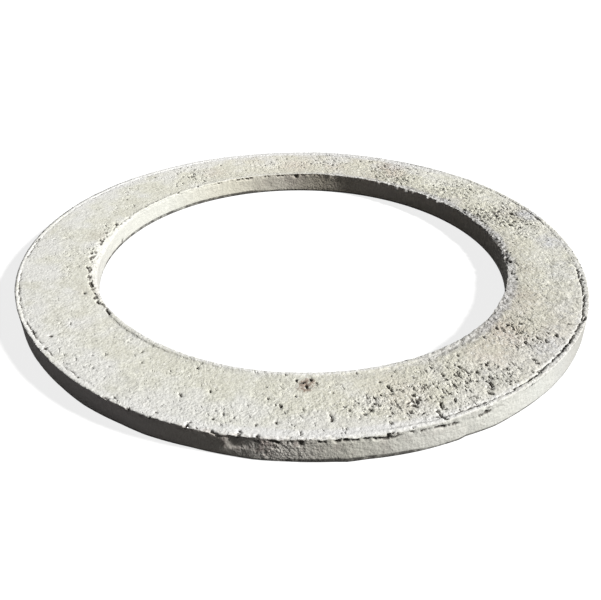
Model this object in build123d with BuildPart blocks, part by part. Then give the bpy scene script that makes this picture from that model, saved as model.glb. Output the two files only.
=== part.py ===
from build123d import *
from math import cos, radians, sin
import os

# Concrete adjustment ring, cast in one piece and lying flat as it is stored.
# Origin at the middle of the underside, +Z up through the clear opening.
# The underside was cast against the mould's base, and the upper face was pressed and struck off.

# Driving sizes of the ring, in millimetres: 27 in clear opening, 5 in wide, 1 1/2 in high
clear_opening = 686.0
ring_width = 127.0
face_height = 38.0

# Both walls are parallel near the top, where the press head ran, and lean in below to leave the mould
parallel_depth = 6.0
draft = 1.5
foot_radius = 2.5

# Thin lips that rose between the press head and the mould, and the nick that the head's rim left
lip_height = 2.0
outer_lip_width = 7.0
outer_lip_crest = 4.0
inner_lip_width = 5.5
inner_lip_crest = 3.0
groove_width = 3.0
groove_depth = 1.2

# Stretches where an arris has broken away: a bevel that runs out at both ends
# Each has its widest place as an angle, the arc it takes each way, its width and its depth
inner_break_angle = 186.0
inner_break_reach = 35.0
inner_break_width = 15.0
inner_break_depth = 11.0
inner_nick_angle = 5.0
inner_nick_reach = 20.0
inner_nick_width = 8.0
inner_nick_depth = 6.0
outer_break_angle = -92.0
outer_break_reach = 27.0
outer_break_width = 9.0
outer_break_depth = 3.5

# How far a cutter runs on past the surface that it cuts
overrun = 5.0

opening_radius = clear_opening / 2
outer_radius = opening_radius + ring_width
crown_height = face_height + lip_height
parallel_foot = face_height - parallel_depth
groove_outer = outer_radius - outer_lip_width
groove_inner = groove_outer - groove_width
face_inner = opening_radius + inner_lip_width


def run_out_shift(width, reach):
    """How far a bevel's own centre stands off the ring's, for the bevel to run out at its reach."""
    return width / (1 - cos(radians(reach)))


def inner_bevel(angle, reach, width, depth):
    """Cuts a bevel from the opening's upper arris, by a cone that stands off towards the bevel."""
    shift = run_out_shift(width, reach)
    crown_radius = opening_radius + width - shift
    lean = width / depth
    tip = crown_radius - lean * (depth + overrun)
    rim = crown_radius + lean * overrun
    low, high = crown_height - depth - overrun, crown_height + overrun
    centre = (shift * cos(radians(angle)), shift * sin(radians(angle)), 0)
    with BuildSketch(Plane(origin=centre, x_dir=(1, 0, 0), z_dir=(0, -1, 0))) as cutter:
        with BuildLine():
            Polyline((0, low), (tip, low), (rim, high), (0, high), close=True)
        make_face()
    revolve(cutter.sketch, axis=Axis(centre, (0, 0, 1)), mode=Mode.SUBTRACT)


def outer_bevel(angle, reach, width, depth):
    """Cuts a bevel from the outside's upper arris, outside a cone that stands off the other way."""
    shift = run_out_shift(width, reach)
    crown_radius = outer_radius - width + shift
    lean = width / depth
    neck = crown_radius - lean * overrun
    skirt = crown_radius + lean * (depth + overrun)
    low, high = crown_height - depth - overrun, crown_height + overrun
    centre = (-shift * cos(radians(angle)), -shift * sin(radians(angle)), 0)
    with BuildSketch(Plane(origin=centre, x_dir=(1, 0, 0), z_dir=(0, -1, 0))) as cutter:
        with BuildLine():
            Polyline((skirt, low), (skirt + overrun, low), (skirt + overrun, high), (neck, high), close=True)
        make_face()
    revolve(cutter.sketch, axis=Axis(centre, (0, 0, 1)), mode=Mode.SUBTRACT)


# The section runs from the opening's foot out along the underside and back over the struck face
with BuildPart() as adjustment_ring:
    with BuildSketch(Plane.XZ) as section:
        with BuildLine():
            foot = Line((opening_radius + draft, 0), (outer_radius - draft, 0))
            outer_wall = Polyline(foot @ 1, (outer_radius, parallel_foot), (outer_radius, crown_height))
            outer_crest = Line(outer_wall @ 1, (outer_radius - outer_lip_crest, crown_height))
            outer_slope = Line(outer_crest @ 1, (groove_outer, face_height))
            groove_bottom = (groove_outer - groove_width / 2, face_height - groove_depth)
            groove = Polyline(outer_slope @ 1, groove_bottom, (groove_inner, face_height))
            struck_face = Line(groove @ 1, (face_inner, face_height))
            inner_slope = Line(struck_face @ 1, (opening_radius + inner_lip_crest, crown_height))
            inner_crest = Line(inner_slope @ 1, (opening_radius, crown_height))
            Polyline(inner_crest @ 1, (opening_radius, parallel_foot), foot @ 0)
        make_face()
        fillet(section.vertices().group_by(Axis.Y)[0], radius=foot_radius)
    revolve(axis=Axis.Z)

    inner_bevel(inner_break_angle, inner_break_reach, inner_break_width, inner_break_depth)
    inner_bevel(inner_nick_angle, inner_nick_reach, inner_nick_width, inner_nick_depth)
    outer_bevel(outer_break_angle, outer_break_reach, outer_break_width, outer_break_depth)

adjustment_ring.part.label = "adjustment_ring"
os.makedirs("parts", exist_ok=True)
export_step(adjustment_ring.part, "parts/adjustment_ring.step")
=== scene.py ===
"""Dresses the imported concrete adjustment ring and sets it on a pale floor.

The ring is one casting. Its section is swept round the opening's axis by geometry nodes, which also give it its
waves, lips, broken arrises, pits and cracks. The finish is worked out from the same places on the ring.

Lengths are in millimetres and angles in degrees wherever nothing else is said. Angle 0 is the ring's right
side, and -90 is its front.
"""

import logging
import math
from dataclasses import dataclass, field
from enum import Enum
from functools import reduce

import bpy
from mathutils import Matrix, Vector

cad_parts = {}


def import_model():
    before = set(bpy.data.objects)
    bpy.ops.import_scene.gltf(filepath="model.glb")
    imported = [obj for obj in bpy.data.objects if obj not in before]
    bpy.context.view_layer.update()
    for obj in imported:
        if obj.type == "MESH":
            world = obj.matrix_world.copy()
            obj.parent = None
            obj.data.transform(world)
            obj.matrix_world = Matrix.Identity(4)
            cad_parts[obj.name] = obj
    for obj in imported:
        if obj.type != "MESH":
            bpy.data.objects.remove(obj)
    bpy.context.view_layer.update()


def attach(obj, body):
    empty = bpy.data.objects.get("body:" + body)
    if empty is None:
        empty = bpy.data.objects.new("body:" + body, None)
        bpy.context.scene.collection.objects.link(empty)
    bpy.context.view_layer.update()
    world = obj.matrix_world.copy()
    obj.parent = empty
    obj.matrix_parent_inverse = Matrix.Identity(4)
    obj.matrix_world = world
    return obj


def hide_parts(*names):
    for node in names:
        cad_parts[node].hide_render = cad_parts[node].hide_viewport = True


LOG = logging.getLogger("adjustment_ring")
MM = 0.001

Socket = bpy.types.NodeSocket
Colour = tuple[float, float, float]


class Number:
    """A number that runs through a node tree and is used in Python sums."""

    def __init__(self, graph: "Graph", socket: Socket) -> None:
        """Takes up a socket of a tree."""
        self.graph = graph
        self.socket = socket

    def __add__(self, other: "Term") -> "Number":
        """Adds."""
        return self.graph.math("ADD", self, other)

    def __radd__(self, other: "Term") -> "Number":
        """Is added to a plain number."""
        return self.graph.math("ADD", other, self)

    def __sub__(self, other: "Term") -> "Number":
        """Takes away."""
        return self.graph.math("SUBTRACT", self, other)

    def __rsub__(self, other: "Term") -> "Number":
        """Is taken away from a plain number."""
        return self.graph.math("SUBTRACT", other, self)

    def __mul__(self, other: "Term") -> "Number":
        """Multiplies."""
        return self.graph.math("MULTIPLY", self, other)

    def __rmul__(self, other: "Term") -> "Number":
        """Multiplies a plain number."""
        return self.graph.math("MULTIPLY", other, self)

    def __truediv__(self, other: "Term") -> "Number":
        """Divides."""
        return self.graph.math("DIVIDE", self, other)

    def __rtruediv__(self, other: "Term") -> "Number":
        """Divides a plain number."""
        return self.graph.math("DIVIDE", other, self)

    def at_least(self, other: "Term") -> "Number":
        """Gives the larger of two."""
        return self.graph.math("MAXIMUM", self, other)

    def at_most(self, other: "Term") -> "Number":
        """Gives the smaller of two."""
        return self.graph.math("MINIMUM", self, other)

    def held(self) -> "Number":
        """Holds the number between 0 and 1."""
        return self.at_least(0).at_most(1)


Term = Number | Socket | float


class Note(Enum):
    """What the casting notes on its points, for its later steps and for the finish."""

    BROKEN = "broken"
    BRINK = "brink"
    # HOLLOW is where the finish paints shade
    HOLLOW = "hollow"
    WALL = "wall"


class Graph:
    """Adds nodes to one tree, of geometry or of a material."""

    def __init__(self, tree: bpy.types.NodeTree) -> None:
        """Takes up a tree."""
        self.tree = tree

    def node(self, kind: str, settings: dict | None = None, sockets: dict | None = None) -> bpy.types.Node:
        """Adds one node.

        Args:
            kind: The node's type.
            settings: Its settings, set before its sockets. A ramp's stops go under "stops".
            sockets: Values or links, by the socket's name or number.

        Returns:
            The node.
        """
        made = self.tree.nodes.new(kind)
        for name, value in (settings or {}).items():
            if name == "stops":
                self._stops(made.color_ramp, value)
            else:
                setattr(made, name, value)
        for key, value in (sockets or {}).items():
            self._feed(made.inputs[key], value)
        return made

    def _feed(self, socket: Socket, value: object) -> None:
        """Links a socket, or sets its value.

        Args:
            socket: The socket that takes the value.
            value: A number of the tree, a socket, or a plain value.
        """
        if isinstance(value, Number):
            value = value.socket
        if isinstance(value, Socket):
            self.tree.links.new(value, socket)
        else:
            socket.default_value = value

    @staticmethod
    def _stops(ramp: bpy.types.ColorRamp, stops: dict[float, float | Colour]) -> None:
        """Sets a ramp's stops.

        Args:
            ramp: The ramp.
            stops: A grey level or a colour for each place from 0 to 1.
        """
        while len(ramp.elements) < len(stops):
            ramp.elements.new(0.5)
        for element, (place, shade) in zip(ramp.elements, stops.items()):
            element.position = place
            element.color = (*shade, 1) if isinstance(shade, tuple) else (shade, shade, shade, 1)

    def number(self, socket: Socket) -> Number:
        """Takes a socket up for use in sums."""
        return Number(self, socket)

    def math(self, operation: str, *terms: Term) -> Number:
        """Gives the result of a Math node with one, two or three values."""
        made = self.node("ShaderNodeMath", {"operation": operation}, dict(enumerate(terms)))
        return self.number(made.outputs[0])

    def vector(self, operation: str, *terms: object) -> Socket:
        """Adds a Vector Math node.

        Args:
            operation: The node's operation.
            terms: Its vectors, or a vector and the number that scales it.

        Returns:
            The result, which is a number for a distance.
        """
        keys = (0, 3) if operation == "SCALE" else (0, 1)
        made = self.node("ShaderNodeVectorMath", {"operation": operation}, dict(zip(keys, terms)))
        return made.outputs[1 if operation == "DISTANCE" else 0]

    def joined(self, x: Term, y: Term, z: Term) -> Socket:
        """Puts a place together from its three parts."""
        return self.node("ShaderNodeCombineXYZ", {}, {0: x, 1: y, 2: z}).outputs[0]

    def parts(self, place: Socket) -> tuple[Number, Number, Number]:
        """Takes a place or a colour apart."""
        return tuple(self.number(part) for part in self.node("ShaderNodeSeparateXYZ", {}, {0: place}).outputs)

    def turned(self, place: Socket, angle: float) -> Socket:
        """Turns a place about the ring's axis."""
        sockets = {"Vector": place, "Angle": math.radians(angle)}
        return self.node("ShaderNodeVectorRotate", {"rotation_type": "Z_AXIS"}, sockets).outputs[0]

    def ease(self, value: Term, start: Term, end: Term) -> Number:
        """Runs smoothly from 0 at start to 1 at end, and stays level beyond them.

        Args:
            value: The value that is read.
            start: Where it begins to rise.
            end: Where it has risen.

        Returns:
            The share.
        """
        sockets = {0: value, 1: start, 2: end, 3: 0, 4: 1}
        made = self.node("ShaderNodeMapRange", {"interpolation_type": "SMOOTHSTEP"}, sockets)
        return self.number(made.outputs[0])

    def noise(self, place: Socket, size: float, detail: float = 1, roughness: float = 0.5) -> Number:
        """Gives noise about 0, mostly within a quarter either way.

        Args:
            place: Where it is read.
            size: How large its lumps are.
            detail: How many finer layers it has.
            roughness: How strong those are.

        Returns:
            The noise.
        """
        sockets = {"Vector": place, "Scale": 1 / size, "Detail": detail, "Roughness": roughness}
        return self.number(self.node("ShaderNodeTexNoise", {}, sockets).outputs[0]) - 0.5

    def strayed(self, place: Socket, size: float, stray: float) -> Socket:
        """Moves a place about by noise, so that what is read there gets ragged edges.

        Args:
            place: The place.
            size: How large the noise's lumps are.
            stray: How far the place goes.

        Returns:
            The moved place.
        """
        made = self.node("ShaderNodeTexNoise", {}, {"Vector": place, "Scale": 1 / size, "Detail": 2})
        aside = self.vector("SUBTRACT", made.outputs[1], (0.5, 0.5, 0.5))
        return self.vector("ADD", place, self.vector("SCALE", aside, stray * 2))

    def noted(self, geometry: Socket, note: Note, value: Number) -> Socket:
        """Keeps a value on every point of a geometry."""
        sockets = {"Geometry": geometry, "Name": note.value, "Value": value}
        return self.node("GeometryNodeStoreNamedAttribute", {"domain": "POINT"}, sockets).outputs[0]

    def recalled(self, name: str) -> Number:
        """Reads a value that a geometry keeps under a name."""
        return self.number(self.node("GeometryNodeInputNamedAttribute", {}, {"Name": name}).outputs[0])


@dataclass(frozen=True)
class Place:
    """A point of the ring, with its radius and its angle."""

    graph: Graph
    point: Socket
    x: Number
    y: Number
    z: Number
    radius: Number
    angle: Number

    @classmethod
    def read(cls, graph: Graph, metres: Socket) -> "Place":
        """Works out a place.

        Args:
            graph: The tree that reads it.
            metres: The position, in metres.

        Returns:
            The place.
        """
        point = graph.vector("SCALE", metres, 1 / MM)
        x, y, z = graph.parts(point)
        angle = graph.math("ARCTAN2", y, x) * math.degrees(1)
        return cls(graph, point, x, y, z, graph.math("SQRT", x * x + y * y), angle)

    def flat(self, seed: float) -> Socket:
        """The place in plan, on a level that the seed picks."""
        return self.graph.joined(self.x, self.y, seed * 17)

    def drawn_out(self, across: float, seed: float) -> Socket:
        """The place with its height stretched, for streaks that run along a wall."""
        return self.graph.joined(self.x, self.y, self.z * across + seed * 17)

    def ramp(self, stops: dict[float, float | Colour]) -> Socket:
        """The grey level or colour that a table of angles gives at the place."""
        around = {(angle + 180) / 360: shade for angle, shade in stops.items()}
        return self.graph.node("ShaderNodeValToRGB", {"stops": around}, {0: (self.angle + 180) / 360}).outputs[0]


@dataclass(frozen=True)
class RoundRing:
    """A value that changes round the ring between two limits, by a table of angles."""

    low: float
    high: float
    stops: dict[float, float]

    def at(self, place: Place) -> Number:
        """The value at a place.

        Args:
            place: Where it is read.

        Returns:
            The value.
        """
        span = self.high - self.low
        levels = {angle: (value - self.low) / span for angle, value in self.stops.items()}
        return place.graph.number(place.ramp(levels)) * span + self.low


@dataclass(frozen=True)
class Patch:
    """A round stretch of the ring, by its angle and radius, how far it reaches and how strong it is."""

    angle: float
    radius: float
    reach: float
    strength: float

    def at(self, place: Place) -> Number:
        """The patch's strength at a place, which fades towards its rim.

        Args:
            place: Where it is read.

        Returns:
            The strength.
        """
        turn = math.radians(self.angle)
        centre = (self.radius * math.cos(turn), self.radius * math.sin(turn), 0)
        away = place.graph.vector("DISTANCE", place.flat(0), centre)
        return place.graph.ease(away, self.reach, self.reach * 0.25) * self.strength


class Patches:
    """Several patches that are read together."""

    def __init__(self, *rows: tuple[float, float, float, float]) -> None:
        """Takes one patch from each row of angle, radius, reach and strength."""
        self.patches = [Patch(*row) for row in rows]

    def at(self, place: Place) -> Number:
        """The sum of their strengths at a place."""
        return reduce(Number.__add__, (patch.at(place) for patch in self.patches))


@dataclass(frozen=True)
class RingSizes:
    """The casting's sizes, as its solid has them."""

    opening_radius: float = 343
    outer_radius: float = 470
    face_height: float = 38
    lip_height: float = 2
    parallel_depth: float = 6
    draft: float = 1.5
    foot_radius: float = 2.5
    outer_lip_width: float = 7
    outer_lip_crest: float = 4
    inner_lip_width: float = 5.5
    inner_lip_crest: float = 3
    groove_width: float = 3
    groove_depth: float = 1.2

    @property
    def crown(self) -> float:
        """Height of the lips' crests."""
        return self.face_height + self.lip_height

    @property
    def middle(self) -> float:
        """Radius halfway across the ring."""
        return (self.opening_radius + self.outer_radius) / 2


@dataclass(frozen=True)
class Break:
    """A stretch of an arris that has broken away in a bevel which runs out at both ends."""

    angle: float
    reach: float
    width: float
    depth: float

    def share(self, place: Place) -> Number:
        """How much of the bevel's width is left at a place, from 1 at its middle to 0 at its ends.

        Args:
            place: Where it is read.

        Returns:
            The share.
        """
        off = place.graph.math("COSINE", (place.angle - self.angle) * math.radians(1))
        fall = 1 / (1 - math.cos(math.radians(self.reach)))
        return (1 - (1 - off) * fall).held()


@dataclass(frozen=True)
class Mark:
    """A pit or crack that stands out, by its place, its length and width, how deep it is and which way it runs."""

    angle: float
    radius: float
    length: float
    width: float
    depth: float = 2.6
    turn: float = -70

    def ends(self) -> tuple[Vector, Vector]:
        """The two ends of its middle line, in plan, in metres.

        Returns:
            The ends.
        """
        spot, run = math.radians(self.angle), math.radians(self.turn)
        centre = Vector((math.cos(spot), math.sin(spot), 0)) * self.radius
        half = Vector((math.cos(run), math.sin(run), 0)) * max(self.length - self.width, 0.2) / 2
        return (centre - half) * MM, (centre + half) * MM


@dataclass(frozen=True)
class Nick:
    """A small hollow in a wall, by its angle and the wall's radius, its half width and the heights it spans."""

    angle: float
    radius: float
    reach: float
    low: float
    high: float

    def at(self, place: Place) -> Number:
        """How far inside the nick a place is, from 0 to 1.

        Args:
            place: Where it is read.

        Returns:
            The share of the nick's depth.
        """
        ease, height = place.graph.ease, place.z + place.graph.noise(place.point, 5, 2) * 5
        beside = Patch(self.angle, self.radius, self.reach, 1).at(place)
        return beside * ease(height, self.low - 1.5, self.low + 1) * ease(height, self.high + 1.5, self.high - 1)

    @property
    def depth(self) -> float:
        """How deep it is, less where it is narrow."""
        return min(self.reach * 0.6, 2.6) if self.reach > 2 else 0.2


@dataclass(frozen=True)
class PitKind:
    """One kind of open pit in the struck face: its spacing, how it is drawn out, its number and its depth."""

    spacing: float
    stretch: float
    turn: float
    few: float
    many: float
    radius: float
    seed: float
    depth: float

    def at(self, place: Place, roughness: Number) -> Number:
        """How deep the pits are at a place.

        Args:
            place: Where they are read.
            roughness: How rough the face is there, which sets how many pits it has.

        Returns:
            The depth, 0 outside a pit.
        """
        graph = place.graph
        ragged = graph.strayed(place.flat(self.seed), self.spacing * 0.35, self.spacing * 0.34)
        cell = (1 / (self.spacing * self.stretch), 1 / self.spacing, 0)
        sockets = {"Vector": graph.vector("MULTIPLY", graph.turned(ragged, -self.turn), cell), "Scale": 1}
        cells = graph.node("ShaderNodeTexVoronoi", {"voronoi_dimensions": "2D"}, sockets).outputs
        present, large, _ = graph.parts(cells["Color"])
        share = roughness * (self.many - self.few) + self.few
        limit = ((share - present) * 8).held() * (large * 0.6 + 0.4) * self.radius + 0.0001
        return graph.ease(cells["Distance"], limit, limit * 0.55) * self.depth


@dataclass(frozen=True)
class StruckFace:
    """The rough face between the lips: where it is coarse, and its pits. Read by the shape and by the finish."""

    sizes: RingSizes = RingSizes()
    rough_patches: Patches = Patches(
        (-72, 414, 62, 0.5), (-80, 418, 36, 0.35), (-63, 385, 60, 0.33), (-62, 438, 50, 0.35),
        (-52, 434, 50, 0.4), (-56, 405, 40, 0.3), (-37, 400, 62, 0.55), (-92, 400, 80, 0.12),
        (-104, 455, 60, 0.25), (-120, 455, 50, 0.15), (-6, 350, 30, 0.3), (18, 412, 75, 0.6),
        (25, 445, 50, 0.4), (27, 370, 60, 0.45), (42, 400, 80, 0.5), (62, 402, 85, 0.65), (82, 415, 80, 0.35),
        (104, 405, 85, 0.25), (126, 405, 85, 0.25), (168, 372, 45, 0.2),
    )
    pit_kinds: tuple[PitKind, ...] = (
        PitKind(10, 2.8, -66, 0, 0.5, 0.2, 3, depth=3),
        PitKind(5.8, 3, -74, 0.02, 0.55, 0.25, 5, depth=1.8),
    )
    uneven: RoundRing = RoundRing(0, 1, {
        -180: 0, -75: 0.1, -45: 0.7, -22: 1, 40: 1, 72: 0.9, 90: 0.5, 115: 0.2, 180: 0,
    })
    frayed_edge: RoundRing = RoundRing(0, 1, {
        -180: 0.1, -90: 0.15, -66: 0.3, -56: 0.8, -24: 1, -12: 0.9, 12: 1, 42: 1, 75: 0.6, 95: 0.2, 180: 0.1,
    })
    frayed_width: float = 21

    def fray(self, place: Place) -> Number:
        """How frayed the face is beside the opening.

        Args:
            place: Where it is read.

        Returns:
            A share from 0 to 1.
        """
        edge = self.sizes.opening_radius + place.graph.noise(place.flat(19), 24, 2) * 26
        band = place.graph.ease(place.radius, edge + self.frayed_width, edge + self.frayed_width * 0.4)
        return band * self.frayed_edge.at(place)

    def crumbs(self, place: Place) -> Number:
        """The crumbs of the frayed edge, as noise about 0."""
        return place.graph.noise(place.flat(18), 7, 2.5, 0.65)

    def roughness(self, place: Place) -> Number:
        """How coarse the face is at a place, from 0 to 1."""
        waver = place.graph.noise(place.flat(1), 40, 2)
        return (self.rough_patches.at(place) + waver * 0.9 + 0.08).held()

    def pits(self, place: Place, roughness: Number) -> Number:
        """How deep the pits, small open hollows and short cracks are at a place.

        Args:
            place: Where they are read.
            roughness: How coarse the face is there.

        Returns:
            The depth.
        """
        graph = place.graph
        drawn = graph.vector("MULTIPLY", graph.turned(place.flat(2), 68), (0.34, 1, 1))
        limit = roughness * 0.13 - 0.145
        hollows = graph.ease(graph.noise(drawn, 4.6, 2.5, 0.7), limit, limit - 0.11) * (roughness * 2 + 0.6)
        vein = graph.math("ABSOLUTE", graph.noise(place.flat(21), 15, 2.5, 0.6))
        cracked = (graph.noise(place.flat(22), 9, 1) * 6 + roughness * 2.1 - 1.75).held()
        deep = hollows.at_least(graph.ease(vein, 0.05, 0.015) * cracked * 2.8)
        return reduce(Number.at_least, (kind.at(place, roughness) for kind in self.pit_kinds), deep)


@dataclass(frozen=True)
class Section:
    """The ring's section as a ring of points, close together where the casting shows."""

    sizes: RingSizes

    def corners(self) -> list[tuple[float, float, float]]:
        """Lists the section's corners, from the opening's foot round by the outside.

        Returns:
            Radius and height of each, with the spacing of the points that follow it.
        """
        s = self.sizes
        parallel_foot = s.face_height - s.parallel_depth
        groove_outer = s.outer_radius - s.outer_lip_width
        ease = s.foot_radius * 0.3
        return [
            (s.opening_radius + s.draft + s.foot_radius, 0, 9),
            (s.outer_radius - s.draft - s.foot_radius, 0, 2),
            (s.outer_radius - s.draft - ease, ease, 2),
            (s.outer_radius - s.draft, s.foot_radius, 1.7),
            (s.outer_radius, parallel_foot, 1),
            (s.outer_radius, s.crown, 0.8),
            (s.outer_radius - s.outer_lip_crest, s.crown, 0.8),
            (groove_outer, s.face_height, 0.7),
            (groove_outer - s.groove_width / 2, s.face_height - s.groove_depth, 0.7),
            (groove_outer - s.groove_width, s.face_height, 1.35),
            (s.opening_radius + s.inner_lip_width, s.face_height, 0.8),
            (s.opening_radius + s.inner_lip_crest, s.crown, 0.8),
            (s.opening_radius, s.crown, 1),
            (s.opening_radius, parallel_foot, 1.7),
            (s.opening_radius + s.draft, s.foot_radius, 2),
            (s.opening_radius + s.draft + ease, ease, 2),
        ]

    def mesh(self) -> bpy.types.Mesh:
        """Makes the section as a closed line of edges, measured from the middle of the ring's width.

        Returns:
            The line, with radius along X and height against Y, as the sweep takes it.
        """
        corners = self.corners()
        points = []
        for (r0, z0, spacing), (r1, z1, _) in zip(corners, corners[1:] + corners[:1]):
            count = max(1, round(math.dist((r0, z0), (r1, z1)) / spacing))
            points += [(r0 + (r1 - r0) * i / count, z0 + (z1 - z0) * i / count) for i in range(count)]
        mesh = bpy.data.meshes.new("ring_section")
        verts = [((r - self.sizes.middle) * MM, -z * MM, 0) for r, z in reversed(points)]
        mesh.from_pydata(verts, [(i, (i + 1) % len(verts)) for i in range(len(verts))], [])
        return mesh


def rows(kind: type, *values: tuple[float, ...]) -> tuple:
    """Makes one object of a kind from each row of its values."""
    return tuple(kind(*row) for row in values)


def placed(name: str, data: bpy.types.ID) -> bpy.types.Object:
    """Puts an object into the scene.

    Args:
        name: Its name.
        data: What it shows.

    Returns:
        The object.
    """
    made = bpy.data.objects.new(name, data)
    bpy.context.scene.collection.objects.link(made)
    return made


def triangles_of(mesh: bpy.types.Mesh) -> int:
    """Counts a mesh's triangles."""
    return sum(len(face.vertices) - 2 for face in mesh.polygons)


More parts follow.
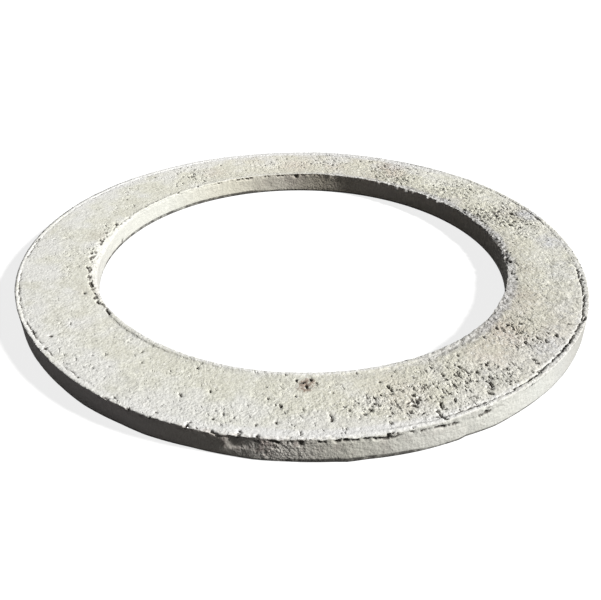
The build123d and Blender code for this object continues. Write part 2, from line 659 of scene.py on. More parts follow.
@dataclass(frozen=True)
class Casting:
    """The whole ring: one closed mesh that stands for the solid."""

    sizes: RingSizes = RingSizes()
    face: StruckFace = StruckFace()
    steps: int = 1700
    triangles: int = 194000

    outer_lip: RoundRing = RoundRing(0, 1, {
        -180: 0.5, -150: 0.55, -138: 0.4, -130: 0.15, -97: 0.1, -78: 0.3, -74: 0.7, -67: 0.9, -24: 0.6,
        -8: 0.3, 6: 0.2, 60: 0.3, 110: 0.3, 170: 0.35, 180: 0.5,
    })
    inner_lip: RoundRing = RoundRing(0, 1, {
        -180: 0.3, -150: 0.5, -138: 0.9, -70: 0.9, -55: 0.4, -35: 0.2, 30: 0.2, 60: 0.4, 85: 0.8, 130: 0.8,
        150: 0.4, 180: 0.3,
    })
    groove_depth: RoundRing = RoundRing(0, 3.6, {
        -180: 1.2, -150: 1.4, -128: 0.9, -118: 0, -74: 0, -66: 1.2, -54: 2.2, -48: 3.5, -43: 2.4, -36: 3.5,
        -25: 3.5, -20: 2, -4: 1.4, 6: 0.3, 14: 0.6, 17: 3.2, 28: 3, 33: 0.8, 60: 0.8, 85: 1.7, 150: 1.5,
        165: 0.7, 180: 1.2,
    })
    groove_place: RoundRing = RoundRing(-4, 4, {
        -180: 2.6, -158: 2.6, -140: -0.5, -66: 0, -50: 1, -40: -1, -29: 0, -26.5: 2.4, -23: -0.4, -10: -2.5,
        10: -0.9, 24: 1.4, 60: 0, 84: -4, 100: -4, 112: -1, 150: -0.5, 165: 1, 180: 2.6,
    })
    outer_shift: RoundRing = RoundRing(-6, 6, {
        -180: 0.3, -165: 0.3, -145: -2.2, -125: 0.4, -105: 1.2, -90: 0, -60: 0.4, -45: 0.5, -25: 0.4,
        -15: -1.2, 5: -2.6, 15: -1.2, 25: 0.2, 38: 1.6, 47: 5.5, 58: 6, 66: 2.5, 74: 1, 82: 1.5, 90: -1,
        98: -3.2, 107: -3.2, 116: -1, 128: -2.6, 138: 0, 152: 1.8, 165: 0.5, 180: 0.3,
    })
    foot_shift: RoundRing = RoundRing(-2, 6, {
        -180: -1, -135: -1.6, -128: -0.3, -120: -1.5, -115: 0, -107: -1.2, -100: 0.8, -97: 2.2, -92: 1.9,
        -85: 3.3, -83: 4.8, -80: 3.5, -76: 4.2, -72: 4.7, -68: 4.4, -65: 4.4, -63.5: 2.4, -61: 3.6, -58: 5,
        -54: 4, -45: 3.4, -38: 3.4, -30: 2.6, -20: 1.6, 0: 0, 180: 0,
    })
    inner_shift: RoundRing = RoundRing(-6, 6, {
        -180: 0.5, -150: 2.8, -135: 1.2, -115: -1, -103: -2.6, -85: -2.4, -72: 0, -45: 1.2, -25: 0.3, 5: 1.8,
        15: 0.8, 35: 0.4, 45: -1.8, 57: -1, 68: 1.6, 80: 2.4, 100: 0, 180: 0.5,
    })
    outer_ledge: RoundRing = RoundRing(0, 2.5, {
        -180: 0.1, -124: 0.2, -100: 0.6, -95: 1.4, -92: 2, -90: 1.2, -84: 2.2, -81: 1.2, -77: 2.5, -75: 0.5,
        -70: 1.6, -67: 2.2, -64.5: 0.3, -62: 0.4, -60.5: 2.4, -58.5: 1, -54: 0.1, 180: 0.1,
    })
    inner_ledge: RoundRing = RoundRing(0, 2, {
        -180: 0.1, 74: 0.2, 88: 0.4, 94: 0.8, 97: 1.2, 120: 1.1, 124: 0.3, 180: 0.1,
    })
    outer_ledge_height: RoundRing = RoundRing(20, 40, {
        -180: 34.5, -104: 34.5, -96: 33.5, -88: 34.8, -80: 35.5, -77: 30.5, -74: 35, -69: 31.5, -65: 28.5,
        -60: 28, -54: 31, -40: 34.5, 180: 34.5,
    })
    inner_ledge_height: float = 35.6
    wall_roughness: RoundRing = RoundRing(0, 1, {
        -180: 0.15, -108: 0.2, -101: 0.35, -96: 0.7, -92: 0.75, -87: 0.35, -76: 0.3, -58: 0.3, -35: 0.2,
        20: 0.3, 70: 0.35, 84: 0.4, 110: 0.25, 180: 0.15,
    })
    outer_crumble: RoundRing = RoundRing(0, 2, {
        -180: 0.3, -150: 0.8, -130: 1.5, -96: 1.5, -70: 0.9, -55: 0.6, 0: 0.6, 20: 1, 60: 1.2, 120: 0.8,
        180: 0.3,
    })
    inner_crumble: RoundRing = RoundRing(0, 2, {
        -180: 0.3, -130: 0.2, -70: 0.5, -40: 1, 10: 1.4, 30: 1.8, 80: 1.8, 92: 0.5, 130: 0.3, 180: 0.3,
    })
    overhang: RoundRing = RoundRing(0, 2, {
        -180: 0, -60: 0.1, -20: 0.5, 20: 0.7, 36: 1.1, 44: 1.9, 60: 1.9, 66: 0.9, 74: 0.2, 180: 0,
    })
    outer_breaks: tuple[Break, ...] = rows(Break, (-92, 27, 9, 3.5))
    inner_breaks: tuple[Break, ...] = rows(Break, (186, 35, 15, 11), (5, 20, 8, 6))
    spall_start: float = -100.6
    spall_end: float = -96
    spall_depth: float = 5
    nicks: tuple[Nick, ...] = rows(
        Nick,
        (-90.3, 470, 1.8, 3, 20), (-90, 470, 4, 28, 35), (-84.5, 470, 4.5, 30, 35), (-77, 470, 3.5, 27, 36),
        (-75.6, 470, 2.2, 33, 42), (-68, 470, 3.5, 28, 33), (-66.3, 470, 3.5, 27, 32), (-60.2, 470, 4, 26, 33),
        (-57.5, 470, 2, 31, 34), (-61.2, 470, 1.1, 10, 26), (-56, 470, 1, 14, 30), (-66.8, 470, 1.1, 8, 24),
        (-94, 470, 9, 31.5, 34), (92.5, 343, 5.5, 30, 37), (164.5, 343, 4, 5, 10),
    )
    marks: tuple[Mark, ...] = rows(
        Mark,
        (-178, 360, 11, 5, 3.2), (-175.5, 359, 8, 5.5, 3.4), (-170, 360, 13, 5, 3), (-168.5, 356, 8, 4),
        (-165, 355.5, 9, 4.5), (-161, 355, 19, 6.5, 4), (-154, 356.5, 9, 5, 3, -80),
        (-151.5, 354, 13, 5, 3.2, -50), (-146, 350.5, 20, 4, 3, -58), (164, 356, 12, 5, 3.2, -60),
        (169.5, 359, 9, 5.5, 3.2), (174, 358, 7, 3.5), (150, 349, 8, 4), (145, 350, 8, 4.5), (136, 347, 8, 5),
        (128, 347, 8, 4.5), (-144, 442, 7, 5), (-147, 421, 4, 2.5), (-133.5, 419, 6, 3, 2),
        (-128, 421, 5, 2.5, 1.6), (-157, 369, 9, 4.5), (-124, 388, 6, 2.2), (-126.5, 370, 5, 3),
        (-112.5, 361, 7, 2.4), (-107, 399, 10, 2.8), (-111.5, 420, 9, 2), (-129.5, 462, 6, 3),
        (-122, 470, 12, 4, 4, -32), (-107.3, 470, 12, 4.2, 5, -112), (-113.5, 471, 10, 4, 4.4, -24),
        (-103, 471, 10, 4.4, 4.4, -13), (-99.3, 470, 14, 4.4, 5, -99), (-96.4, 470, 11, 3.6, 4.4, -90),
        (-117.5, 471, 8, 4, 4, -27), (-121, 462, 5, 3.5), (-113, 461, 6, 3), (-107, 463, 5, 3),
        (-104, 449, 5, 2.4), (-97, 449, 6, 2.8), (-94, 442, 5, 3), (-141, 461, 9, 3.5), (-99, 462, 5, 3),
        (-88.9, 369, 10, 5.4, 3.2), (-88, 355, 10, 5.5), (-89.8, 361, 8, 4.4, 3, 20), (-91, 358, 6, 3.4),
        (-86.8, 363, 6, 3.2), (-90, 460, 13, 2.6, 2.6, -84), (-85, 432, 18, 2.6, 2.6, -80), (-84, 384, 5, 2.6),
        (-83, 455, 6, 2.8), (-91, 390, 6, 2.4), (-96, 398, 6, 2.4), (-78, 425, 9, 3.6), (-77, 414, 7, 3.6),
        (-79.5, 431, 7, 3), (-75, 399, 6, 3.4), (-73, 390, 17, 4, 3.2), (-74, 374, 7, 4), (-69.5, 411, 9, 4.5),
        (-70.5, 431, 12, 5.6, 4.2, -40), (-69.7, 424, 13, 3.6, 4, -82), (-71, 422, 7, 3, 3.4, 15),
        (-69, 421, 8, 3.5), (-76, 452, 9, 2.4), (-68.4, 458, 12, 4.6, 4, -20), (-70.4, 447, 11, 2.6, 3, 12),
        (-67.7, 454, 13, 3.6, 4, -60), (-66.4, 442, 15, 4, 4, -84), (-66.6, 450, 10, 3.4, 3.8, 12),
        (-66.5, 434, 9, 2.4, 2.6, -20), (-64, 418, 10, 2.2), (-61, 389, 8, 4), (-66, 398, 7, 3),
        (-57.2, 451, 13, 4.4, 4, -48), (-56.3, 444, 9, 3.9, 4, -25), (-55.5, 437, 16, 4.2, 4, -76),
        (-55.5, 432, 6, 3), (-57, 424, 6, 4.5), (-55, 410, 8, 4.5), (-56.5, 394, 20, 3.4, 3.2, -48),
        (-54, 367, 8, 4.5), (-52.5, 414, 8, 3), (-51, 405, 6, 3.6), (-50, 429, 9, 3.2, 2.6, -20),
        (-54, 426, 7, 3.4), (-44.3, 450, 9, 3.8, 3.6, -30), (-43.8, 441, 10, 3.6, 3.4, -62),
        (-48, 440, 7, 2.4), (-40, 413, 7, 3.4), (-37, 424, 9, 4), (-37, 435, 8, 4), (-37, 396, 10, 4),
        (-36, 373, 9, 4.5), (-39, 366, 9, 4), (-44, 364, 8, 3.6), (-34, 388, 8, 3.4), (-29, 449, 6, 3.4),
        (-34, 442, 8, 3.4), (-14, 358, 7, 4), (-11, 351, 10, 3.6, 3), (-4, 350, 12, 5, 3.4), (1.5, 353, 7, 3),
        (5.5, 350, 6, 3.6), (-76.3, 471, 7, 3, 4), (-73, 470, 5, 3), (-67.6, 464, 11, 4, 3.6, -60),
        (-47, 455, 8, 3), (-52, 450, 7, 2.6), (-60, 448, 8, 3, 2.6, -55), (-63.5, 440, 9, 3),
        (-72, 440, 8, 3.2), (-71, 398, 10, 3.6), (-65, 428, 7, 3), (-49, 463, 30, 3, 3.5, 41),
        (-45.5, 461.5, 16, 3.5, 3.5, 47), (-37, 461.5, 26, 3.2, 3.5, 53), (-34.3, 463, 20, 3.4, 4, 58),
        (-26, 466, 14, 4.2, 4, 48), (-18.5, 462, 22, 3, 3, 71), (-10, 461, 20, 2.4, 2.6, 80),
        (17.5, 463, 16, 3, 3.2, 107), (25.5, 464, 18, 3, 3.2, 115), (-56, 463.5, 16, 2.4, 2.6, 34),
        (-146, 461, 28, 2.6, 2.6, -56), (176, 467, 18, 3, 3, 86), (11.5, 388, 9, 4.5),
        (16.5, 399, 13, 5.5, 3.6), (18, 415, 9, 6, 3.4), (14.5, 412, 11, 4), (18.5, 392, 8, 4),
        (22, 427, 14, 6, 3.2), (21, 432, 8, 4), (24.5, 410, 9, 4), (26.5, 412, 10, 4.5), (23, 368, 8, 4),
        (21.5, 357, 9, 5), (29.5, 357, 12, 5), (31, 398, 8, 4), (28, 440, 12, 4), (37.5, 362, 9, 5),
        (36, 440, 8, 4), (44.5, 430, 7, 4), (48.5, 413, 8, 3.6), (55, 401, 9, 5), (44, 395, 8, 3.4),
        (71, 445, 10, 4), (73.5, 440, 11, 3.6), (77, 450, 9, 3), (81, 403, 10, 4), (98, 430, 9, 3.6),
        (95, 432, 8, 3), (114.5, 430, 9, 3), (128, 432, 14, 3), (134, 445, 8, 5), (125, 400, 8, 3.4),
    )

    def marks_mesh(self) -> bpy.types.Mesh:
        """Makes the marks as loose edges that carry their half width and depth.

        Returns:
            The edges.
        """
        mesh = bpy.data.meshes.new("named_marks")
        ends = [end for mark in self.marks for end in mark.ends()]
        mesh.from_pydata(ends, [(2 * i, 2 * i + 1) for i in range(len(self.marks))], [])
        for name, values in (
            ("half_width", [mark.width / 2 for mark in self.marks]),
            ("depth", [mark.depth for mark in self.marks]),
        ):
            mesh.attributes.new(name, "FLOAT", "EDGE").data.foreach_set("value", values)
        return mesh

    def tree(self) -> bpy.types.NodeTree:
        """Builds the geometry nodes that sweep, shape and finish the casting.

        Returns:
            The tree.
        """
        group = bpy.data.node_groups.new("ring_casting", "GeometryNodeTree")
        for name, kind, way in (
            ("Section", "NodeSocketGeometry", "INPUT"),
            ("Marks", "NodeSocketObject", "INPUT"),
            ("Ring Radius", "NodeSocketFloat", "INPUT"),
            ("Steps", "NodeSocketInt", "INPUT"),
            ("Outer Radius", "NodeSocketFloat", "INPUT"),
            ("Opening Radius", "NodeSocketFloat", "INPUT"),
            ("Face Height", "NodeSocketFloat", "INPUT"),
            ("Material", "NodeSocketMaterial", "INPUT"),
            ("Casting", "NodeSocketGeometry", "OUTPUT"),
        ):
            group.interface.new_socket(name, in_out=way, socket_type=kind)
        graph = Graph(group)
        given = graph.node("NodeGroupInput").outputs
        sockets = {"Resolution": given["Steps"], "Radius": given["Ring Radius"]}
        circle = graph.node("GeometryNodeCurvePrimitiveCircle", {"mode": "RADIUS"}, sockets)
        upright = graph.node("GeometryNodeSetCurveNormal", {"mode": "Z_UP"}, {"Curve": circle.outputs[0]})
        section = graph.node("GeometryNodeMeshToCurve", {}, {"Mesh": given["Section"]})
        sockets = {"Curve": upright.outputs[0], "Profile Curve": section.outputs[0]}
        swept = graph.node("GeometryNodeCurveToMesh", {}, sockets).outputs[0]
        lipped = self._lips(graph, swept, given)
        pitted = self._relief(graph, self._breaks(graph, lipped), given)
        painted = graph.node("GeometryNodeSetMaterial", {}, {"Geometry": pitted, "Material": given["Material"]})
        real = graph.node("GeometryNodeRealizeInstances", {}, {"Geometry": painted.outputs[0]})
        graph.node("NodeGroupOutput", {}, {0: real.outputs[0]})
        return group

    @staticmethod
    def _here(graph: Graph) -> Place:
        """Reads the place of every point as it now is."""
        return Place.read(graph, graph.node("GeometryNodeInputPosition").outputs[0])

    @staticmethod
    def _moved(geometry: Socket, place: Place, radius: Number, height: Number) -> Socket:
        """Puts every point at a new radius and height, at the angle that it has.

        Args:
            geometry: The geometry.
            place: The point's place.
            radius: Its new radius.
            height: Its new height.

        Returns:
            The moved geometry.
        """
        out = radius / place.radius
        spot = place.graph.joined(place.x * out * MM, place.y * out * MM, height * MM)
        return place.graph.node("GeometryNodeSetPosition", {}, {"Geometry": geometry, "Position": spot}).outputs[0]

    def _lips(self, graph: Graph, geometry: Socket, given: dict[str, Socket]) -> Socket:
        """Gives the lips their height round the ring, the groove its depth and line, and the edges their waver.

        Args:
            graph: The tree.
            geometry: The plain swept ring.
            given: The tree's inputs.

        Returns:
            The shaped geometry.
        """
        s, place = self.sizes, self._here(graph)
        names = ("Outer Radius", "Opening Radius", "Face Height")
        outer, inner, face = (graph.number(given[name]) for name in names)
        on_top = graph.ease(place.z, face - 2, face - 1.4)
        outside = graph.ease(place.radius, s.middle - 1, s.middle + 1)
        flicker = graph.noise(place.flat(2), 9, 2) * 0.9 + graph.noise(place.flat(3), 30) * 0.8
        lip = self.outer_lip.at(place) * outside + self.inner_lip.at(place) * (1 - outside)
        lip = (lip + flicker * 0.6).held()
        above = (place.z - face).at_least(0) * on_top
        below = (face - place.z).at_least(0) * on_top
        deep = self.groove_depth.at(place) * (flicker * 5 + 0.8).at_least(0).at_most(1.4)
        crest = graph.math("SQRT", above / s.lip_height) * s.lip_height
        height = place.z - above + crest * lip + below - below / s.groove_depth * deep

        line = graph.noise(place.flat(4), 26, 2) * 5 + graph.noise(place.flat(5), 7, 2) * 6
        line = line + self.groove_place.at(place)
        line = line * (
            graph.ease(place.radius, outer - 22, outer - 11) * graph.ease(place.radius, outer - 0.5, outer - 6)
        )
        beside = graph.ease(place.radius, inner + 18, inner + 8) * graph.ease(place.radius, inner + 0.5, inner + 4)
        inward = self.inner_lip.at(place) * (graph.noise(place.flat(8), 9, 2) * 6 + 2.6) * beside
        radius = place.radius + (line + inward) * on_top + self._wavered(place, outer, inner)
        return self._moved(geometry, place, radius, height)

    def _wavered(self, place: Place, outer: Number, inner: Number) -> Number:
        """How far the ring's two edges stand off their true circles.

        Args:
            place: Where it is read.
            outer: The outside's radius.
            inner: The opening's radius.

        Returns:
            How far the place goes outwards.
        """
        graph = place.graph
        outer_side = graph.ease(place.radius, outer - 26, outer - 3)
        inner_side = graph.ease(place.radius, inner + 26, inner + 3)
        up_wall = graph.ease(place.z, 4, 30)
        ragged = graph.noise(place.flat(6), 14, 2) * 1.6
        shift = outer_side * (self.outer_shift.at(place) * up_wall + ragged * up_wall)
        shift = shift + outer_side * self.foot_shift.at(place) * graph.ease(place.z, 36, 2)
        shift = shift + inner_side * (self.inner_shift.at(place) * up_wall + ragged * up_wall)
        teeth = (graph.noise(place.flat(7), 9, 2, 0.6) * 16 - 0.4).at_least(-0.6) * self.overhang.at(place)
        return shift - teeth * graph.ease(place.radius, inner + 12, inner + 3) * graph.ease(place.z, 30, 35)

    def _bevelled(
        self, place: Place, breaks: tuple[Break, ...], side: float, edge: float, wear: Number
    ) -> tuple[Number, Number, Number, Number]:
        """Brings what stands over the bevels of one arris back onto them.

        Args:
            place: The point.
            breaks: The stretches that have broken away.
            side: 1 for the outer arris, -1 for the inner one.
            edge: The arris's radius.
            wear: How ragged the arris is, about 0.

        Returns:
            How far the point goes in radius and in height, how broken its surface is, and how near it is to the
            bevel's upper edge.
        """
        graph, top = place.graph, self.sizes.crown
        width = wear.at_least(0) * 6 + 0.5
        depth = width * 0.8
        for one in breaks:
            share = one.share(place) * (wear * 1.3 + 1).at_least(0.3)
            width, depth = width.at_least(share * one.width), depth.at_least(share * one.depth)
        length = graph.math("SQRT", width * width + depth * depth)
        out = (place.radius - edge) * side + width
        off = (out * depth + (place.z - top) * width) / length
        over = off.at_least(0)
        brink = graph.ease(off * off, 7, 0.8) * graph.ease(width, 4, 8) * graph.ease(place.z, top - 4, top - 2.8)
        broken = graph.ease(over, 0, 0.6) * graph.ease(width, 2, 4)
        return over * depth / length * -side, over * width / length * -1, broken, brink

    def _breaks(self, graph: Graph, geometry: Socket) -> Socket:
        """Breaks the arrises away in ragged bevels and notes where the surface is broken.

        Args:
            graph: The tree.
            geometry: The ring with its lips.

        Returns:
            The broken geometry.
        """
        s, place = self.sizes, self._here(graph)
        wear = graph.noise(place.drawn_out(0.3, 8), 16, 3, 0.6)
        chips = graph.noise(place.drawn_out(0.5, 7), 8, 2, 0.6)
        out_wear, in_wear = (wear + chips * table.at(place) for table in (self.outer_crumble, self.inner_crumble))
        out_r, out_z, out_broken, _ = self._bevelled(place, self.outer_breaks, 1, s.outer_radius, out_wear)
        in_r, in_z, in_broken, brink = self._bevelled(place, self.inner_breaks, -1, s.opening_radius, in_wear)
        geometry = graph.noted(geometry, Note.BROKEN, (out_broken + in_broken).held())
        geometry = graph.noted(geometry, Note.BRINK, brink)
        return self._moved(geometry, place, place.radius + out_r + in_r, place.z + out_z + in_z)

    def _relief(self, graph: Graph, geometry: Socket, given: dict[str, Socket]) -> Socket:
        """Adds waves, lumps, ledges, pits and marks, and notes where the hollows and the walls are.

        Args:
            graph: The tree.
            geometry: The ring with its broken arrises.
            given: The tree's inputs.

        Returns:
            The finished geometry.
        """
        s, place = self.sizes, self._here(graph)
        _, _, upward = graph.parts(graph.node("GeometryNodeInputNormal").outputs[0])
        top = graph.ease(upward, 0.35, 0.75)
        under = graph.ease(upward, -0.3, -0.7)
        wall = (1 - top - under).held()
        outside = graph.ease(place.radius, s.middle - 1, s.middle + 1)
        broken, brink = graph.recalled(Note.BROKEN.value), graph.recalled(Note.BRINK.value)
        crumbs = graph.noise(place.point, 7, 2.5, 0.65) * broken * 5
        crumble = brink * (graph.noise(place.point, 9, 2.5, 0.6) * 6 + 0.35).held() * top
        marked, mark_depth = self._marks(place, given["Marks"])
        face_rise = self._face_rise(place, broken, crumbs, mark_depth.at_least(crumble * 3.4))
        wall_rise, recess = self._wall_rise(place, outside, crumbs)
        radius = place.radius + (outside * 2 - 1) * wall_rise * wall
        height = (place.z + face_rise * top).at_most(s.crown + 0.8)

        # the hollow note tells the finish where to paint shade: named marks, undercuts and nicks, and the crumbled
        # brink
        hollow = (marked * top + recess * wall + crumble).held()
        # the strip just below the face beside a deep groove is noted as well, for the painted shadow line under
        # the outer lip
        beside = graph.ease(place.radius, s.outer_radius - 20, s.outer_radius - 16)
        gash = graph.ease(self.groove_depth.at(place), 0.3, 1.4) * beside
        below = graph.ease(s.face_height - place.z, 0.4, 1.2) * gash * (1 - broken) * top
        geometry = graph.noted(geometry, Note.HOLLOW, hollow.at_least(below))
        geometry = graph.noted(geometry, Note.WALL, wall)
        return self._moved(geometry, place, radius, height)

    def _face_rise(self, place: Place, broken: Number, crumbs: Number, dug: Number) -> Number:
        """How far the struck face stands above its level.

        Args:
            place: Where it is read.
            broken: How broken the surface is there.
            crumbs: The crumbs of a broken surface.
            dug: How deep the named marks are there.

        Returns:
            The rise, below 0 in a hollow.
        """
        graph, edge = place.graph, self.sizes.outer_radius
        rough, uneven = self.face.roughness(place), self.face.uneven.at(place)
        wave = graph.noise(place.flat(11), 160) * 1.6
        lump = graph.noise(place.flat(9), 19, 2) * (rough * 1.8 + uneven * 1.2 + 0.8)
        grain = graph.noise(place.flat(10), 7.5, 2.5, 0.6) * (rough * 2.2 + uneven * 2 + 1) * (1 - broken)
        off_lip = graph.ease(place.radius, edge - 6, edge - 12)
        fray = self.face.fray(place)
        frayed = self.face.crumbs(place) * fray * 7 - fray * 0.5
        hollows = self.face.pits(place, rough) * (off_lip * 0.7 + 0.3) + dug
        return wave + lump * off_lip + grain + crumbs + frayed - hollows

    def _wall_rise(self, place: Place, outside: Number, crumbs: Number) -> tuple[Number, Number]:
        """How far the walls stand out.

        Args:
            place: Where it is read.
            outside: 1 on the ring's outer half, 0 on its inner half.
            crumbs: The crumbs of a broken surface.

        Returns:
            The rise, and how far inside a ledge's undercut or a nick the place is.
        """
        graph = place.graph
        rough = self.wall_roughness.at(place)
        wave = graph.noise(place.point, 90) * 1.6
        lump = graph.noise(place.drawn_out(1.4, 12), 13, 3, 0.6) * (rough * 2.2 + 0.4)
        grain = graph.noise(place.point, 5, 2, 0.65) * (rough * 2.4 + 0.4)
        undercut, rim = self._ledge(place, outside)
        run = ((self.spall_end - place.angle) / (self.spall_end - self.spall_start)).held()
        spall = graph.ease(place.angle, self.spall_start - 0.8, self.spall_start + 0.8) * run
        spall = spall * graph.ease(place.z + run * 8 + lump, 20, 26) * outside
        smoothed = 1 - graph.ease(spall, 0, 0.3) * 0.8
        rise = (wave + (lump + grain + crumbs) * smoothed - spall * self.spall_depth) * graph.ease(place.z, 0, 3)
        shares = [nick.at(place) for nick in self.nicks]
        nicked = reduce(Number.at_least, shares)
        nick_depth = reduce(Number.at_least, (share * nick.depth for share, nick in zip(shares, self.nicks)))
        return rise - undercut * 1.8 + rim * 0.5 - nick_depth, undercut * 0.9 + nicked

    def _ledge(self, place: Place, outside: Number) -> tuple[Number, Number]:
        """Reads the ragged ledge along the walls, below the broken arrises.

        Args:
            place: Where it is read.
            outside: 1 on the ring's outer half, 0 on its inner half.

        Returns:
            How deep it cuts in, and how far its rim stands out.
        """
        graph = place.graph
        sunk = self.outer_breaks[0].share(place) * outside * 2.2
        waver = graph.noise(place.flat(13), 22, 2) * 4 + graph.noise(place.flat(15), 8, 2) * 4
        depth = self.outer_ledge.at(place) * outside + self.inner_ledge.at(place) * (1 - outside)
        height = self.outer_ledge_height.at(place) * outside + (1 - outside) * self.inner_ledge_height
        line = place.z + sunk - height - waver
        gap = (graph.noise(place.flat(14), 6.5, 2) * 12 + 0.5 - outside * 0.25).held()
        ledge = graph.ease(line * line, depth * 3.6 + 0.8, 0.3)
        rim = graph.ease(line, 0.8, 2.4)
        return ledge * gap * depth, rim * gap * depth

    @staticmethod
    def _marks(place: Place, marks: Socket) -> tuple[Number, Number]:
        """Reads the nearest named mark.

        Args:
            place: Where it is read.
            marks: The object that holds the marks.

        Returns:
            The share of the mark's full depth there, and how deep that is.
        """
        graph = place.graph
        lines = graph.node("GeometryNodeObjectInfo", {}, {"Object": marks}).outputs["Geometry"]
        spot = graph.vector("SCALE", graph.strayed(graph.strayed(place.flat(0), 14, 3.4), 4.5, 2.2), MM)
        sockets = {0: lines, "Sample Position": graph.vector("MULTIPLY", spot, (1, 1, 0))}
        near = graph.node("GeometryNodeProximity", {"target_element": "EDGES"}, sockets)
        nearest = graph.node("GeometryNodeSampleNearest", {"domain": "EDGE"}, sockets).outputs[0]
        read = []
        for name in ("half_width", "depth"):
            sockets = {"Geometry": lines, "Value": graph.recalled(name), "Index": nearest}
            sampled = graph.node("GeometryNodeSampleIndex", {"domain": "EDGE"}, sockets)
            read.append(graph.number(sampled.outputs[0]))
        half_width, depth = read
        away = graph.number(near.outputs["Distance"]) / MM + graph.noise(place.flat(16), 6, 2) * 2.6
        share = graph.ease(away, half_width * 1.15, half_width * 0.45)
        return share, share * depth

    def build(self, material: bpy.types.Material) -> bpy.types.Object:
        """Makes the casting as a plain mesh.

        Args:
            material: Its finish.

        Returns:
            The finished piece.
        """
        marks = placed("named_marks", self.marks_mesh())
        maker = placed("ring_section", Section(self.sizes).mesh())
        modifier = maker.modifiers.new("casting", "NODES")
        modifier.node_group = self.tree()
        wanted = {
            "Marks": marks,
            "Ring Radius": self.sizes.middle * MM,
            "Steps": self.steps,
            "Outer Radius": float(self.sizes.outer_radius),
            "Opening Radius": float(self.sizes.opening_radius),
            "Face Height": float(self.sizes.face_height),
            "Material": material,
        }
        for item in modifier.node_group.interface.items_tree:
            if item.name in wanted:
                modifier[item.identifier] = wanted[item.name]
        whole = self._settled(maker, "swept_casting")
        thinned = placed("swept_casting", whole)
        thinned.modifiers.new("thin", "DECIMATE").ratio = min(1.0, self.triangles / triangles_of(whole))
        mesh = self._settled(thinned, "concrete_casting")
        LOG.info("casting: %d of %d triangles", triangles_of(mesh), triangles_of(whole))
        for helper in (marks, maker, thinned):
            bpy.data.objects.remove(helper)
        mesh.shade_smooth()
        return placed("concrete_casting", mesh)

    @staticmethod
    def _settled(maker: bpy.types.Object, name: str) -> bpy.types.Mesh:
        """Makes a plain mesh of an object with its modifiers.

        Args:
            maker: The object.
            name: The mesh's name.

        Returns:
            The mesh.
        """
        bpy.context.view_layer.update()
        mesh = bpy.data.meshes.new_from_object(maker.evaluated_get(bpy.context.evaluated_depsgraph_get()))
        mesh.name = name
        return mesh


def emptied(owner: bpy.types.Material | bpy.types.World) -> Graph:
    """Empties the node tree of a material or a world.

    Args:
        owner: The material or world.

    Returns:
        Its tree, taken up.
    """
    owner.use_nodes = True
    owner.node_tree.nodes.clear()
    return Graph(owner.node_tree)


class Shade(Enum):
    """The colours that are laid over the tints of the face and the walls."""

    CREAM = (0.74, 0.72, 0.56)
    BLUE_GREY = (0.55, 0.56, 0.59)
    BROWN_SMUDGE = (0.47, 0.42, 0.35)
    GREY_SMUDGE = (0.6, 0.61, 0.64)
    PINK = (0.62, 0.52, 0.45)
    CLOUD = (0.77, 0.77, 0.765)
    BLEACHED = (0.8, 0.8, 0.8)
    WARM = (0.7, 0.69, 0.585)
    WORN = (0.4, 0.38, 0.33)
    PALE_GRAIN = (0.87, 0.865, 0.82)
    DARK_GRAIN = (0.26, 0.25, 0.22)
    BROWN_PITS = (0.24, 0.16, 0.12)
    FRAYED = (0.57, 0.57, 0.595)
    # painted shade: dark laid into the gaps between the frayed edge's crumbs
    GAP_SHADE = (0.22, 0.21, 0.19)
    # brown blotches on the walls, partly their own stain and partly painted shade where the key light grazes them
    STAIN_AND_SHADE = (0.36, 0.3, 0.28)
    # painted shade: the contact shadow along the foot of the walls
    FOOT_SHADOW = (0.07, 0.065, 0.06)
    CREST = (0.82, 0.82, 0.81)
    # painted shade: dark grey on the outer arris and wall where they face away from the key light
    BRIM_SHADE = (0.2, 0.2, 0.2)
    # painted shade: near black, laid into the pits and into the hollows that the casting notes
    HOLLOW_SHADE = (0.1, 0.09, 0.08)


class Coat:
    """A colour that is built up in layers."""

    def __init__(self, graph: Graph, colour: Socket) -> None:
        """Starts with the lowest layer."""
        self.graph = graph
        self.colour = colour

    def lay(self, over: Shade | Socket, share: Number) -> None:
        """Lays a colour over what is there.

        Args:
            over: The colour.
            share: How much of it shows, held between 0 and 1.
        """
        colour = (*over.value, 1) if isinstance(over, Shade) else over
        settings = {"data_type": "RGBA", "clamp_factor": True}
        self.colour = self.graph.node("ShaderNodeMix", settings, {0: share, 6: self.colour, 7: colour}).outputs[2]


class Surface:
    """What the finish reads at a point: its place, which part of the ring it is on, and how coarse it is."""

    def __init__(self, graph: Graph, face: StruckFace) -> None:
        """Reads the point.

        Args:
            graph: The material's tree.
            face: The struck face.
        """
        self.place = place = Place.read(graph, graph.node("ShaderNodeTexCoord").outputs["Object"])
        self.hollow, self.wall, self.broken = (
            graph.number(graph.node("ShaderNodeAttribute", {"attribute_name": note.value}).outputs["Fac"])
            for note in (Note.HOLLOW, Note.WALL, Note.BROKEN)
        )
        rough = face.roughness(place)
        self.flat = (1 - self.wall).held()
        self.pits = face.pits(place, rough) * self.flat * (1 - self.broken)
        self.fray = face.fray(place) * self.flat
        self.speckle = graph.noise(place.point, 5, 2.5, 0.75)
        self.mottle = graph.noise(place.point, 14, 3, 0.6)
        self.cloud = graph.noise(place.point, 48, 2.5, 0.55)
        self.streak = graph.noise(place.drawn_out(5, 15), 30, 3, 0.6)
        self.wall_rough = Casting.wall_roughness.at(place)
        self.calm = 1 - self.wall * (1 - self.wall_rough) * 0.6
        self.uneven = face.uneven.at(place) * self.flat
        self.coarse = rough + (self.wall_rough - rough) * self.wall + self.uneven * 0.3


